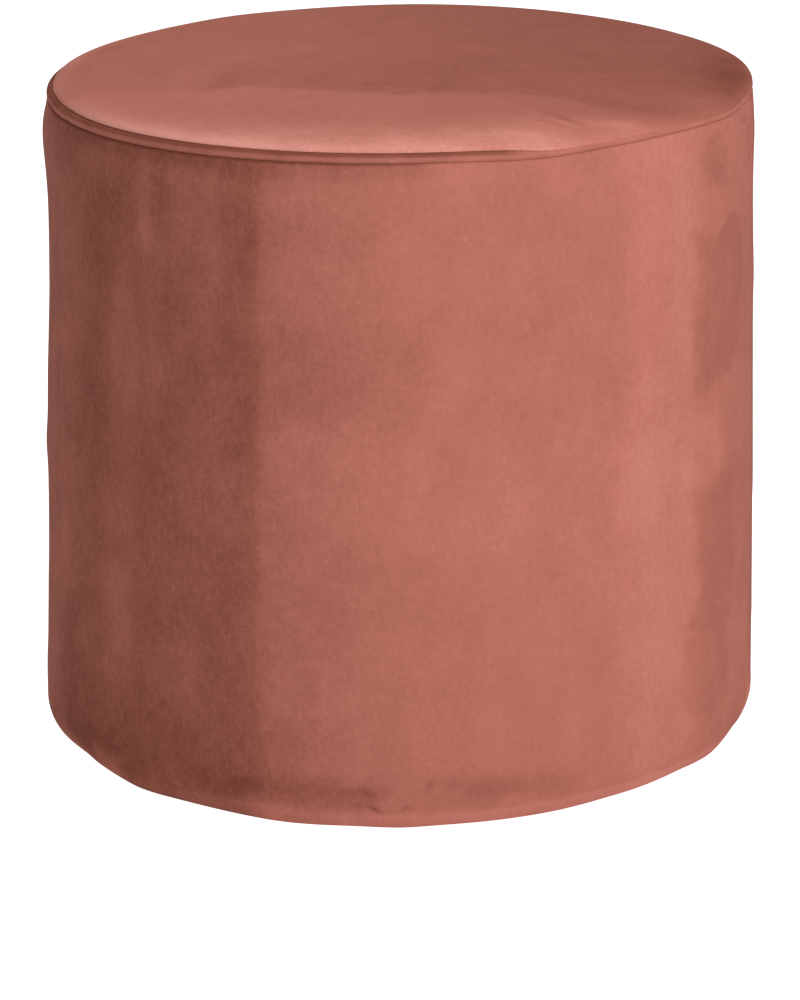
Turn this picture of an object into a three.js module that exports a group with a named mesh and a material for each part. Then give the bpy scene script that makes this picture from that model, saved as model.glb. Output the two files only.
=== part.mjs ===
// A round pouf: a filled velvet drum with a piped seam round its top edge.
// Millimetres, +Z up. The origin is on the floor, under the middle of the drum.
// Four sewn pieces: the side panel, the piping, the crowned top panel and the base panel.
import * as THREE from "three";

// Driving dimensions of the drum.
const SEAM_HEIGHT = 422.6; // floor to the seam under the piping
const NECK_RADIUS = 226.4; // at the seam, where the stitching draws the cloth in
const BASE_RADIUS = 232.5; // where the filling has settled and the drum is widest
const WIDEST_HEIGHT = 35;
const TOP_EDGE_ROUND = 2; // the side panel's turn into the seam

// The swell below the seam, fuller at the left than at the right.
const SWELL_DOWN = 22; // how far below the seam it is fullest
const SWELL = 2;
const SWELL_MORE_AT_LEFT = 1;

// The soft edge at the floor: how far it reaches in and up.
const EDGE_IN = 18;
const EDGE_IN_MORE_AT_RIGHT = 2.6;
const EDGE_IN_MORE_AT_SIDES = 7.5;
const EDGE_UP = 23;
const EDGE_UP_MORE_AT_RIGHT = 2.8;

// How the filled drum stands: the top is a little off centre, and lower at the left.
const TOP_LEAN = 2.7;
const TOP_TILT = 1.6;

// Piping, a cord covered with cloth.
const PIPING_RADIUS = 3.4;
const PIPING_OUTERMOST = 226.6;

// Crowned top panel.
const SHOULDER_RISE = 5.8; // from the crease at the piping to the top's edge
const SHOULDER_POWER = 24; // how tightly the shoulder turns
const CROWN_RISE = 4.2; // from the top's edge to its middle
const CREASE_ANGLE = 105; // how far the panel wraps over the piping, in degrees from its outer side

// Base panel, let into the underside.
const BASE_PANEL_RADIUS = 198;
const BASE_PANEL_THICKNESS = 3;

const GAP = 0.3; // between sewn pieces
const TURNS = 96; // steps round the drum
const VELVET = 0xb66f60;

const PIPING_CENTRE = PIPING_OUTERMOST - PIPING_RADIUS;
const PIPING_HEIGHT = SEAM_HEIGHT + GAP + PIPING_RADIUS;

// Points [radius, height] along an ellipse's arc, from one angle to another in degrees.
function arc([centre, height], across, up, from, to, steps) {
  return Array.from({ length: steps + 1 }, (_, i) => {
    const angle = THREE.MathUtils.degToRad(from + ((to - from) * i) / steps);
    return [centre + across * Math.cos(angle), height + up * Math.sin(angle)];
  });
}

// The settled filling moves every piece alike: it tips the top and carries it sideways.
function settle(point) {
  const share = Math.min(1, point.z / SEAM_HEIGHT);
  const lean = (TOP_LEAN * (point.z - WIDEST_HEIGHT)) / SEAM_HEIGHT;
  point.z += TOP_TILT * share * (point.x / NECK_RADIUS);
  point.x += lean;
}

// Turns a profile round the upright axis. profileAt(turn) gives its points [radius, height],
// and turn is 0 at the front, growing to the right.
function turned(profileAt) {
  const outline = profileAt(0).map(([radius, height]) => new THREE.Vector2(radius, height));
  const geometry = new THREE.LatheGeometry(outline, TURNS);
  geometry.deleteAttribute("normal");
  geometry.deleteAttribute("uv");
  const place = geometry.getAttribute("position");
  const point = new THREE.Vector3();
  for (let step = 0; step <= TURNS; step++) {
    const turn = (2 * Math.PI * (step % TURNS)) / TURNS;
    profileAt(turn).forEach(([radius, height], row) => {
      point.set(radius * Math.sin(turn), -radius * Math.cos(turn), height);
      settle(point);
      place.setXYZ(step * outline.length + row, point.x, point.y, point.z);
    });
  }
  geometry.computeVertexNormals();
  return geometry;
}

function velvetMesh(name, geometry) {
  const velvet = new THREE.MeshStandardMaterial({ color: VELVET, roughness: 0.9, metalness: 0 });
  const mesh = new THREE.Mesh(geometry, velvet);
  mesh.name = name;
  return mesh;
}

// The drum's radius: a straight flare to the floor, plus the swell below the seam.
function drumRadius(height, turn) {
  const down = SEAM_HEIGHT - height;
  const flare = ((BASE_RADIUS - NECK_RADIUS) * down) / (SEAM_HEIGHT - WIDEST_HEIGHT);
  const fullness = SWELL - SWELL_MORE_AT_LEFT * Math.sin(turn);
  const rise = ((down / SWELL_DOWN) * Math.exp(1 - down / SWELL_DOWN)) ** 2;
  return NECK_RADIUS + flare + fullness * rise;
}

// The side panel with its filling. Its underside is let in for the base panel.
function sidePanel() {
  const downs = [340, 290, 240, 190, 140, 100, 75, 60, 48, 38, 30, 23, 17, 12, 8, 5, 3.5, 2];
  const letIn = BASE_PANEL_THICKNESS + GAP;
  const letInRadius = BASE_PANEL_RADIUS + GAP;
  return turned((turn) => {
    const toRight = Math.sin(turn);
    const edgeUp = EDGE_UP + EDGE_UP_MORE_AT_RIGHT * toRight;
    const edgeIn =
      EDGE_IN + EDGE_IN_MORE_AT_RIGHT * toRight - EDGE_IN_MORE_AT_SIDES * Math.cos(2 * turn);
    const edgeCentre = [drumRadius(edgeUp, turn) - edgeIn, edgeUp];
    const topCentre = [
      drumRadius(SEAM_HEIGHT, turn) - TOP_EDGE_ROUND,
      SEAM_HEIGHT - TOP_EDGE_ROUND,
    ];
    const heights = downs.map((down) => SEAM_HEIGHT - down);
    return [
      [0, letIn],
      [letInRadius, letIn],
      [letInRadius, 0],
      ...arc(edgeCentre, edgeIn, edgeUp, -90, 0, 6),
      ...heights.map((height) => [drumRadius(height, turn), height]),
      ...arc(topCentre, TOP_EDGE_ROUND, TOP_EDGE_ROUND, 45, 90, 1),
      [0, SEAM_HEIGHT],
    ];
  });
}

// One closed ring, lying in the seam between the side and the top.
function piping() {
  const section = arc([PIPING_CENTRE, PIPING_HEIGHT], PIPING_RADIUS, PIPING_RADIUS, -180, 180, 10);
  return turned(() => section);
}

// The top panel wraps over the piping, turns over at the shoulder and rises to its crown.
function topPanel() {
  const clear = PIPING_RADIUS + GAP;
  const underside = SEAM_HEIGHT + GAP;
  const wrap = arc([PIPING_CENTRE, PIPING_HEIGHT], clear, clear, 180, CREASE_ANGLE, 3);
  const [creaseRadius, creaseHeight] = wrap[wrap.length - 1];
  const shoulder = [15, 30, 45, 57, 67, 75, 82, 87].map((degrees) => {
    const angle = THREE.MathUtils.degToRad(degrees);
    const radius = creaseRadius * Math.cos(angle) ** (2 / SHOULDER_POWER);
    return [radius, creaseHeight + SHOULDER_RISE * Math.sin(angle)];
  });
  const flat = [130, 80, 35, 0].map((radius) => [radius, creaseHeight + SHOULDER_RISE]);
  const crowned = [...shoulder, ...flat].map(([radius, height]) => [
    radius,
    height + CROWN_RISE * (1 - (radius / creaseRadius) ** 2),
  ]);
  const outline = [[0, underside], [PIPING_CENTRE - clear, underside], ...wrap, ...crowned];
  return turned(() => outline);
}

// A plain disc of the same cloth, level with the drum's underside.
function basePanel() {
  const outline = [
    [0, 0],
    [BASE_PANEL_RADIUS, 0],
    [BASE_PANEL_RADIUS, BASE_PANEL_THICKNESS],
    [0, BASE_PANEL_THICKNESS],
  ];
  return turned(() => outline);
}

const pouf = new THREE.Group();
pouf.add(
  velvetMesh("side_panel", sidePanel()),
  velvetMesh("piping", piping()),
  velvetMesh("top_panel", topPanel()),
  velvetMesh("base_panel", basePanel()),
);

export default pouf;
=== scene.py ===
"""A round pouf in short-pile velvet: a filled drum with a piped seam round its crowned top.

Metres, +Z up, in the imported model's frame. Turn is the angle round the drum, 0 at the front (-Y)
and growing to the right (+X), so a point is at radius * (sin turn, -cos turn).
"""
import math

import bpy
import numpy as np
from mathutils import Matrix, Vector


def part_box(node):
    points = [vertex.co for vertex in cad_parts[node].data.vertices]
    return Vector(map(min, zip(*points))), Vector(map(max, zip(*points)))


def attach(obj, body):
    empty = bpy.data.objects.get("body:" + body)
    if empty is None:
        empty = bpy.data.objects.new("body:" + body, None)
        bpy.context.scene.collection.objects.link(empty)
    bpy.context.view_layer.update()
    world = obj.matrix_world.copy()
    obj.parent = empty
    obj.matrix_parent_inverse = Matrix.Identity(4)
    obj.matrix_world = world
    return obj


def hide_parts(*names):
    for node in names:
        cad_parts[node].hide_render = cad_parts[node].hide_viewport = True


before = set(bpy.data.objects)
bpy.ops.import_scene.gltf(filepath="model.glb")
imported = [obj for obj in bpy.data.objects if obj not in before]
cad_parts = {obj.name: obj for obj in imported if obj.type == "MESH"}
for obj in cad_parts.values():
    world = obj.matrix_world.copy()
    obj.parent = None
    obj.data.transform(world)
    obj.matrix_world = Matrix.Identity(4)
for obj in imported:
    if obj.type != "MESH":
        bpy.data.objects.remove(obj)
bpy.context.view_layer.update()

MM = 0.001

# Camera
# It stands about 3.3 m in front of the pouf and looks down 15.5 degrees. The photo's upright lines
# were squared up, which the lens shift repeats, and its right side sits a touch higher.
CAMERA_AIM = Vector((1.6, 0, 212.2)) * MM
CAMERA_DISTANCE = 3341 * MM
CAMERA_PITCH = 0.2698
CAMERA_ROLL = 0.0059
CAMERA_LENS = 183.85
CAMERA_SHIFT = -0.0974

look = Vector((0, math.cos(CAMERA_PITCH), -math.sin(CAMERA_PITCH)))
level = Vector((1, 0, 0))
upright = level.cross(look)
camera_right = level * math.cos(CAMERA_ROLL) - upright * math.sin(CAMERA_ROLL)
camera_up = camera_right.cross(look)
camera_data = bpy.data.cameras.new("camera")
camera_data.lens = CAMERA_LENS
camera_data.shift_y = CAMERA_SHIFT
camera = bpy.data.objects.new("camera", camera_data)
axes = Matrix((camera_right, camera_up, -look)).transposed().to_4x4()
camera.matrix_world = Matrix.Translation(CAMERA_AIM - look * CAMERA_DISTANCE) @ axes
bpy.context.scene.collection.objects.link(camera)
bpy.context.scene.camera = camera

# Side panel
# One long strip of velvet round the filling, drawn in at the top seam, fuller just below it and
# folded softly at the floor. Its ends are joined by a plain upright seam at the back.
SEAM_HEIGHT = 422.6 * MM
NECK_RADIUS = 226.4 * MM
BASE_RADIUS = 232.5 * MM
WIDEST_HEIGHT = 35 * MM
SWELL_DOWN = 22 * MM
SWELL = 2 * MM
SWELL_MORE_AT_LEFT = 1 * MM
EDGE_IN = 18 * MM
EDGE_IN_MORE_AT_RIGHT = 2.6 * MM
EDGE_IN_MORE_AT_SIDES = 7.5 * MM
EDGE_UP = 23 * MM
EDGE_UP_MORE_AT_RIGHT = 2.8 * MM
TOP_LEAN = 2.7 * MM
TOP_TILT = 1.6 * MM
GAP = 0.3 * MM
LET_IN_RADIUS = (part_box("base_panel")[1][0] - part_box("base_panel")[0][0]) / 2 + GAP
LET_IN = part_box("base_panel")[1][2] + GAP
SIDE_COLUMNS = 560
FOLD_ROWS = 20
WALL_ROWS = 108
CLOSER_AT_ENDS = 0.45
JOIN_HALF_WIDTH = 1.2 * MM
JOIN_DEPTH = 0.9 * MM

# Extra columns lie beside the join and, in degrees, across the creases at the front. Near the seam
# and the floor the wall keeps its even shape, and further in than SEWN_IN it isn't wall any more.
BESIDE_JOIN = np.array([0.3, 0.7, 1.2, 1.9, 3.2]) * MM
CREASED_FROM = -8.2
CREASED_TO = 6.2
CREASED_STEP = 0.32
WALL_UNEVEN = 0.25 * MM
EVEN_BELOW_SEAM = 1.5 * MM
EVEN_ABOVE_FLOOR = 3 * MM
SEWN_IN = 0.98 * NECK_RADIUS

# The piping that its top edge is sewn to, and the small roll in which the cloth turns in to it.
PIPING_RADIUS = 3.5 * MM
PIPING_CENTRE = 223.2 * MM
PIPING_HEIGHT = SEAM_HEIGHT + 3.7 * MM
TOUCH_ANGLE = -50
CLOSE = 0.1 * MM
ROLL_DOWN = 2.8 * MM
ROLL_END = 60

# Where the fold at the floor is tighter or fuller, and where the wall stands out or in.
FLOOR_FOLDS = [
    {"turn": 0, "half": 5, "further_in": -3.0},
    {"turn": -18, "half": 9, "further_in": -3.5},
    {"turn": -47, "half": 7, "further_in": -5.0},
    {"turn": -66, "half": 6, "further_in": 4.0},
    {"turn": -77, "half": 4, "further_in": -3.5},
    {"turn": 67, "half": 4, "further_in": -2.0},
    {"turn": 79, "half": 3, "further_in": 4.0},
    {"turn": 36, "half": 7, "further_in": 2.0},
    {"turn": 62, "half": 6, "further_in": -7.0},
]
WALL_SWELLS = [
    {"turn": -92, "half": 34, "height": 312, "tall": 62, "out": -1.1},
    {"turn": -90, "half": 24, "height": 194, "tall": 12, "out": 0.9},
    {"turn": -92, "half": 34, "height": 132, "tall": 46, "out": -0.8},
    {"turn": -90, "half": 30, "height": 38, "tall": 16, "out": 0.6},
    {"turn": 92, "half": 36, "height": 215, "tall": 190, "out": 1.1},
    {"turn": 90, "half": 30, "height": 306, "tall": 32, "out": 0.45},
    {"turn": 90, "half": 30, "height": 108, "tall": 28, "out": 0.35},
]

# How far hand sewing leaves the seam below its level, in millimetres: a little all round, more at
# three dips, and with a slight wave at the back.
SEAM_SAG = 0.3
SEAM_DIPS = [
    {"turn": -60, "half": 30, "lower": 1.5},
    {"turn": 22, "half": 9, "lower": 1.7},
    {"turn": 66, "half": 11, "lower": 2.4},
]
SEAM_WAVE = {"from": 110, "from_soft": 10, "by": 0.5}
SAG_REACH = 35 * MM

# Puckers in the seam, and the plain join of the piping at the back.
PUCKER_REACH = 9 * MM
SEAM_PUCKERS = [
    {"turn": -78.6, "half": 1.0, "deep": 0.7},
    {"turn": -67, "half": 0.9, "deep": 0.5},
    {"turn": 58.5, "half": 1.0, "deep": 0.6},
    {"turn": 61.5, "half": 0.8, "deep": 0.5},
    {"turn": 73, "half": 0.9, "deep": 0.8},
    {"turn": 122, "half": 1.1, "deep": 0.6},
    {"turn": 180, "half": 0.5, "deep": 0.8},
    {"turn": -131, "half": 0.9, "deep": 0.5},
]

# Small creases in the fold at the front, each a soft trough: its middle, its length and its slope.
FOLD_CREASES = [
    {"turn": -3.9, "height": 13.8, "long": 4.2, "wide": 1.5, "slope": -28, "deep": 1.1},
    {"turn": -6.6, "height": 16.5, "long": 4.0, "wide": 1.8, "slope": 8, "deep": 0.5},
    {"turn": 0.9, "height": 14.8, "long": 3.2, "wide": 1.4, "slope": 12, "deep": 0.7},
    {"turn": -4.5, "height": 24.0, "long": 7.0, "wide": 2.6, "slope": -12, "deep": 0.5},
    {"turn": 4.6, "height": 29.0, "long": 5.0, "wide": 3.0, "slope": 70, "deep": 0.5},
]


def soft_step(value, edge, softness):
    """0 below the edge and 1 above it, by a tanh as soft as softness."""
    return 0.5 + 0.5 * np.tanh((value - edge) / softness)


def stretch(value, ends):
    """1 between ends' from and to and 0 beyond them, by soft steps. An end not given is open."""
    inside = 1
    if "from" in ends:
        inside = inside * soft_step(value, ends["from"], ends["from_soft"])
    if "to" in ends:
        inside = inside * (1 - soft_step(value, ends["to"], ends["to_soft"]))
    return inside


def off_turn(degrees, centre):
    """How far a turn is from another one the shorter way round, in degrees."""
    return (degrees - centre + 180) % 360 - 180


def bump(value, centre, half_width):
    """A rounded hump: exp(-((value - centre) / half_width) ** 2)."""
    return np.exp(-(((value - centre) / half_width) ** 2))


def wander(turn, along, most_round, pitch, seed):
    """A gentle unevenness of about -1 to 1, the sum of a dozen sine waves over the surface.

    Each has a whole number of waves round the drum, up to most_round, and a length along it of
    about pitch, so that the ends of the turn meet.
    """
    random = np.random.default_rng(seed)
    total = 0
    for _ in range(12):
        rounds = random.integers(1, most_round + 1)
        slope = random.uniform(-1, 1) * 2 * math.pi / pitch
        total = total + np.sin(rounds * turn + slope * along + random.uniform(0, 2 * math.pi))
    return total / 4


def ragged(turn, along, seed):
    """An uneven edge's wave: gentle, middling and small wandering, each half as strong as the last."""
    gentle = wander(turn, along, most_round=9, pitch=90 * MM, seed=seed)
    middling = wander(turn, along, most_round=34, pitch=28 * MM, seed=seed + 1)
    small = wander(turn, along, most_round=110, pitch=9 * MM, seed=seed + 2)
    return gentle + middling / 2 + small / 4


def settle(x, y, z):
    """The filling has settled: the top is carried a little to the right and is lower at the left."""
    share = np.minimum(1, z / SEAM_HEIGHT)
    lean = TOP_LEAN * (z - WIDEST_HEIGHT) / SEAM_HEIGHT
    return np.stack([x + lean, y, z + TOP_TILT * share * x / NECK_RADIUS], axis=-1)


def sewn_round(name, turn, radius, height, cloth, lay_and_shading, ruffle):
    """A closed surface turned about the upright axis, from grids of rows by columns.

    A point is at radius * (sin turn, -cos turn) and its height, then settles. Rows of no radius
    at both ends shrink to one point each; otherwise the last row joins the first, as a ring.
    cloth holds each corner's place on the flat cloth, with one more column, for the UV map. lay
    is how the pile lies at each point, with painted light and shade added, and ruffle how rough it is
    there.
    """
    rows, columns = radius.shape
    points = settle(radius * np.sin(turn), -radius * np.cos(turn), height).reshape(-1, 3)
    index = np.arange(rows * columns).reshape(rows, columns)
    capped = radius[0].max() == 0
    if capped:
        index[0] = index[0, 0]
        index[-1] = index[-1, 0]
    else:
        index = np.vstack([index, index[:1]])
    index = np.hstack([index, index[:, :1]])
    row, column = np.indices((index.shape[0] - 1, columns))
    corner_row = np.stack([row, row, row + 1, row + 1], axis=-1)
    corner_column = np.stack([column, column + 1, column + 1, column], axis=-1)
    quads = index[corner_row, corner_column]
    places = cloth[corner_row, corner_column]
    if capped:
        faces = [quads[0][:, 1:], quads[1:-1].reshape(-1, 4), quads[-1][:, :3]]
        maps = [places[0][:, 1:], places[1:-1], places[-1][:, :3]]
    else:
        faces = [quads.reshape(-1, 4)]
        maps = [places]
    used, found = np.unique(np.concatenate([f.ravel() for f in faces]), return_inverse=True)
    ends = np.cumsum([f.size for f in faces])[:-1]
    faces = [part.reshape(f.shape) for part, f in zip(np.split(found, ends), faces)]
    mesh = bpy.data.meshes.new(name)
    mesh.from_pydata(points[used].tolist(), [], [face for f in faces for face in f.tolist()])
    layer = mesh.uv_layers.new(name="cloth")
    flat = np.concatenate([part.reshape(-1, 2) for part in maps])
    layer.uv.foreach_set("vector", flat.astype(np.float32).ravel())
    for word, value in (("lay_and_shading", lay_and_shading), ("ruffle", ruffle)):
        pile = mesh.attributes.new(word, "FLOAT", "POINT")
        whole = np.broadcast_to(value, radius.shape).reshape(-1)
        pile.data.foreach_set("value", whole[used].astype(np.float32))
    mesh.polygons.foreach_set("use_smooth", np.ones(len(mesh.polygons), dtype=bool))
    mesh.set_sharp_from_angle(angle=math.radians(60))
    piece = bpy.data.objects.new(name, mesh)
    bpy.context.scene.collection.objects.link(piece)
    return piece


def ellipse_arc(centre_radius, centre_height, across, up, start, end, steps):
    """Rows along an ellipse's arc: centre + (across * cos angle, up * sin angle), in degrees."""
    share = np.linspace(0, 1, steps + 1)[:, None]
    angle = np.radians(start + (end - start) * share)
    return centre_radius + across * np.cos(angle), centre_height + up * np.sin(angle)


def drum_radius(height, turn):
    """A straight flare to the floor, plus the swell ((d/D) * e^(1 - d/D)) ** 2 at d below the seam."""
    down = SEAM_HEIGHT - height
    flare = (BASE_RADIUS - NECK_RADIUS) * down / (SEAM_HEIGHT - WIDEST_HEIGHT)
    fullness = SWELL - SWELL_MORE_AT_LEFT * np.sin(turn)
    return NECK_RADIUS + flare + fullness * (down / SWELL_DOWN * np.exp(1 - down / SWELL_DOWN)) ** 2


def seam_sag(turn):
    """How far the seam lies below its level: the dips as rounded humps, and a wave at the back."""
    degrees = np.degrees(turn)
    total = SEAM_SAG
    for dip in SEAM_DIPS:
        total = total + dip["lower"] * bump(degrees, dip["turn"], dip["half"])
    wave = stretch(np.abs(degrees), SEAM_WAVE) * wander(turn, 0, most_round=14, pitch=1, seed=5)
    return (total + SEAM_WAVE["by"] * wave) * MM


def seam_pucker(turn):
    """How far a pucker of the seam draws all three pieces inwards: narrow rounded dips."""
    total = 0
    for pucker in SEAM_PUCKERS:
        off = off_turn(np.degrees(turn), pucker["turn"])
        total = total + pucker["deep"] * MM * bump(off, 0, pucker["half"])
    return total


def wall_swell(turn, height):
    """How far the filled wall stands out from its even shape: the sum of the swells, as rounded humps."""
    total = 0
    for swell in WALL_SWELLS:
        off = off_turn(np.degrees(turn), swell["turn"])
        hump = bump(off, 0, swell["half"]) * bump(height, swell["height"] * MM, swell["tall"] * MM)
        total = total + swell["out"] * MM * hump
    return total


def side_rows(turn, fold_steps, wall_steps):
    """The profile from the middle of the underside, round the floor fold and up to the piping.

    The wall's rows lie closer together towards the fold and the seam. At the top the cloth turns
    in by an ellipse's arc until it touches the piping, and follows it round to its underside.
    """
    degrees = np.degrees(turn)
    edge_up = EDGE_UP + EDGE_UP_MORE_AT_RIGHT * np.sin(turn)
    edge_in = EDGE_IN + EDGE_IN_MORE_AT_RIGHT * np.sin(turn) - EDGE_IN_MORE_AT_SIDES * np.cos(2 * turn)
    for fold in FLOOR_FOLDS:
        edge_in = edge_in + fold["further_in"] * MM * bump(degrees, fold["turn"], fold["half"])
    edge_centre = drum_radius(edge_up, turn) - edge_in
    under_radius = np.array([0, 0.5, 1, 1])[:, None] * LET_IN_RADIUS
    under_height = np.array([1, 1, 1, 0])[:, None] * LET_IN
    fold_radius, fold_height = ellipse_arc(
        edge_centre, edge_up, edge_in, edge_up, start=-90, end=0, steps=fold_steps
    )
    even = np.linspace(0, 1, wall_steps + 1)[1:, None]
    share = (1 - CLOSER_AT_ENDS) * even + CLOSER_AT_ENDS / 2 * (1 - np.cos(math.pi * even))
    wall_top = SEAM_HEIGHT - ROLL_DOWN
    wall_height = edge_up + (wall_top - edge_up) * share
    wall_radius = drum_radius(wall_height, turn)
    touching = PIPING_RADIUS + CLOSE
    touch_radius = PIPING_CENTRE + touching * math.cos(math.radians(TOUCH_ANGLE))
    touch_height = PIPING_HEIGHT + touching * math.sin(math.radians(TOUCH_ANGLE))
    roll_in = (wall_radius[-1:] - touch_radius) / (1 - math.cos(math.radians(ROLL_END)))
    roll_up = (touch_height - wall_top) / math.sin(math.radians(ROLL_END))
    roll_radius, roll_height = ellipse_arc(
        wall_radius[-1:] - roll_in, wall_top, roll_in, roll_up, start=10, end=ROLL_END, steps=5
    )
    tuck_radius, tuck_height = ellipse_arc(
        PIPING_CENTRE, PIPING_HEIGHT, touching, touching, start=TOUCH_ANGLE - 10, end=-90, steps=4
    )
    closing_radius = np.array([0.95, 0.5, 0])[:, None] * PIPING_CENTRE
    closing_height = np.full((3, 1), PIPING_HEIGHT - touching)
    parts = [
        (under_radius, under_height),
        (fold_radius, fold_height),
        (wall_radius, wall_height),
        (roll_radius, roll_height),
        (tuck_radius, tuck_height),
        (closing_radius, closing_height),
    ]
    level_row = np.ones_like(turn)
    radius = np.vstack([part[0] * level_row for part in parts])
    height = np.vstack([part[1] * level_row for part in parts])
    return radius, height


def along_profile(radius, height):
    """The length of cloth from the first row to each row, down one column."""
    steps = np.hypot(np.diff(radius, axis=0), np.diff(height, axis=0))
    return np.vstack([np.zeros((1, radius.shape[1])), np.cumsum(steps, axis=0)])


def profile_normal(radius, height):
    """The outward direction in each column's plane: the profile's own direction turned by 90 degrees."""
    across = np.gradient(radius, axis=0)
    up = np.gradient(height, axis=0)
    length = np.hypot(across, up) + 1e-12
    return up / length, -across / length


# The loose cloth: how hard the filling pushes it out, how much too large it is cut, and for how many
# frames it moves.
CLOTH_PRESSURE = 4
CUT_TOO_LARGE = 0.01
CLOTH_FRAMES = 20


def filled_out(points, held):
    """Blender's cloth on a grid of rows by columns closed round the turn, pushed out by its filling.

    The held rows, which are sewn or stand on the floor, stay put. Returns the points where they
    are after the last frame.
    """
    rows, columns = points.shape[:2]
    index = np.arange(rows * columns).reshape(rows, columns)
    index = np.hstack([index, index[:, :1]])
    quads = np.stack([index[:-1, :-1], index[:-1, 1:], index[1:, 1:], index[1:, :-1]], axis=-1)
    mesh = bpy.data.meshes.new("trial_cloth")
    mesh.from_pydata(points.reshape(-1, 3).tolist(), [], quads.reshape(-1, 4).tolist())
    trial = bpy.data.objects.new("trial_cloth", mesh)
    bpy.context.scene.collection.objects.link(trial)
    group = trial.vertex_groups.new(name="held")
    group.add(np.flatnonzero(np.repeat(held, columns)).tolist(), 1, "REPLACE")
    cloth = trial.modifiers.new("cloth", "CLOTH")
    cloth.settings.vertex_group_mass = "held"
    cloth.settings.use_pressure = True
    cloth.settings.uniform_pressure_force = CLOTH_PRESSURE
    cloth.settings.shrink_min = -CUT_TOO_LARGE
    cloth.settings.effector_weights.gravity = 0
    cloth.collision_settings.use_collision = False
    cloth.point_cache.frame_start = 1
    cloth.point_cache.frame_end = CLOTH_FRAMES
    for step in range(1, CLOTH_FRAMES + 1):
        bpy.context.scene.frame_set(step)
    shaped = trial.evaluated_get(bpy.context.evaluated_depsgraph_get()).data
    moved = np.empty(points.size, dtype=np.float32)
    shaped.vertices.foreach_get("co", moved)
    bpy.context.scene.frame_set(1)
    bpy.data.objects.remove(trial)
    bpy.data.meshes.remove(mesh)
    return moved.reshape(points.shape).astype(float)


def nearness(fine, coarse, reach, whole=None):
    """Weights that give each fine place the mean of the coarse ones near it: exp(-(distance/reach)^2)."""
    gap = fine[:, None] - coarse[None, :]
    if whole:
        gap = (gap + whole / 2) % whole - whole / 2
    weight = np.exp(-((gap / reach) ** 2))
    return weight / weight.sum(axis=1, keepdims=True)


even_turn = np.linspace(-math.pi, math.pi, SIDE_COLUMNS, endpoint=False)
near_join = BESIDE_JOIN / BASE_RADIUS
near_creases = np.radians(np.arange(CREASED_FROM, CREASED_TO, CREASED_STEP))
side_turn = np.concatenate([even_turn, near_join - math.pi, math.pi - near_join, near_creases])
side_turn = np.unique(side_turn)[None, :]
side_radius, side_height = side_rows(side_turn, FOLD_ROWS, WALL_ROWS)
side_along = along_profile(side_radius[:, :1], side_height[:, :1])
normal_out, normal_up = profile_normal(side_radius, side_height)
on_wall = soft_step(side_radius, SEWN_IN, 1 * MM)
on_wall = np.where(side_radius > LET_IN_RADIUS, on_wall, 0)
side_degrees = np.degrees(side_turn)

stand_out = wall_swell(side_turn, side_height)
uneven = wander(side_turn, side_height, most_round=7, pitch=160 * MM, seed=51)
stand_out = stand_out + WALL_UNEVEN * uneven
# creased sums the creases' depth, which later darkens them with painted shade.
creased = 0
for crease in FOLD_CREASES:
    slope = math.radians(crease["slope"])
    aside = (side_turn - math.radians(crease["turn"])) * BASE_RADIUS / MM
    above = side_height / MM - crease["height"]
    along = aside * math.cos(slope) + above * math.sin(slope)
    across = above * math.cos(slope) - aside * math.sin(slope)
    trough = bump(along, 0, crease["long"]) * bump(across, 0, crease["wide"])
    stand_out = stand_out - crease["deep"] * MM * trough
    creased = creased + crease["deep"] * trough

# The cloth is simulated on a coarser grid without its closing rows. Its movement, less each row's
# mean and never more than SIM_CAP, is carried over to the fine grid.
SIM_COLUMNS = 200
SIM_FOLD_ROWS = 8
SIM_WALL_ROWS = 46
SIM_CLOSING_ROWS = 3
SIM_ROWS_ON_FLOOR = 4
SIM_ROWS_SEWN = 9
SIM_UNEVEN = 0.5 * MM
SIM_CAP = 1.1 * MM
CARRY_REACH = 7 * MM

sim_turn = np.linspace(-math.pi, math.pi, SIM_COLUMNS, endpoint=False)[None, :]
sim_radius, sim_height = side_rows(sim_turn, SIM_FOLD_ROWS, SIM_WALL_ROWS)
sim_radius = sim_radius + wall_swell(sim_turn, sim_height)
sim_radius = sim_radius + SIM_UNEVEN * ragged(sim_turn, sim_height, seed=61)
sim_out, sim_up = profile_normal(sim_radius, sim_height)
sim_along = along_profile(sim_radius[:, :1], sim_height[:, :1])
inside = slice(SIM_CLOSING_ROWS, -SIM_CLOSING_ROWS)
held = np.ones(sim_radius.shape[0], dtype=bool)
held[SIM_ROWS_ON_FLOOR:-SIM_ROWS_SEWN] = False
whole = np.stack(
    [sim_radius * np.sin(sim_turn), -sim_radius * np.cos(sim_turn), sim_height], axis=-1
)
shift = np.zeros_like(whole)
shift[inside] = filled_out(whole[inside], held[inside]) - whole[inside]
moved_out = shift[..., 0] * np.sin(sim_turn) - shift[..., 1] * np.cos(sim_turn)
moved = moved_out * sim_out + shift[..., 2] * sim_up
moved = moved - moved.mean(axis=1, keepdims=True)
moved = SIM_CAP * np.tanh(moved / SIM_CAP)
by_row = nearness(side_along[:, 0], sim_along[:, 0], CARRY_REACH)
by_column = nearness(side_turn[0], sim_turn[0], CARRY_REACH / BASE_RADIUS, whole=2 * math.pi)
stand_out = stand_out + by_row @ moved @ by_column.T

free = on_wall * (1 - soft_step(side_height, SEAM_HEIGHT - EVEN_BELOW_SEAM, 1 * MM))
free = free * soft_step(side_height, EVEN_ABOVE_FLOOR, 1.5 * MM)
side_radius = side_radius + stand_out * normal_out * free
side_height = side_height + stand_out * normal_up * free
side_height = side_height - seam_sag(side_turn) * bump(side_height, SEAM_HEIGHT, SAG_REACH)
from_join = (math.pi - np.abs(side_turn)) * BASE_RADIUS
side_radius = side_radius - JOIN_DEPTH * np.exp(-from_join / JOIN_HALF_WIDTH) * on_wall
drawn_in = seam_pucker(side_turn) * bump(side_height, SEAM_HEIGHT, PUCKER_REACH)
side_radius = side_radius * (1 - drawn_in / PIPING_CENTRE)
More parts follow.
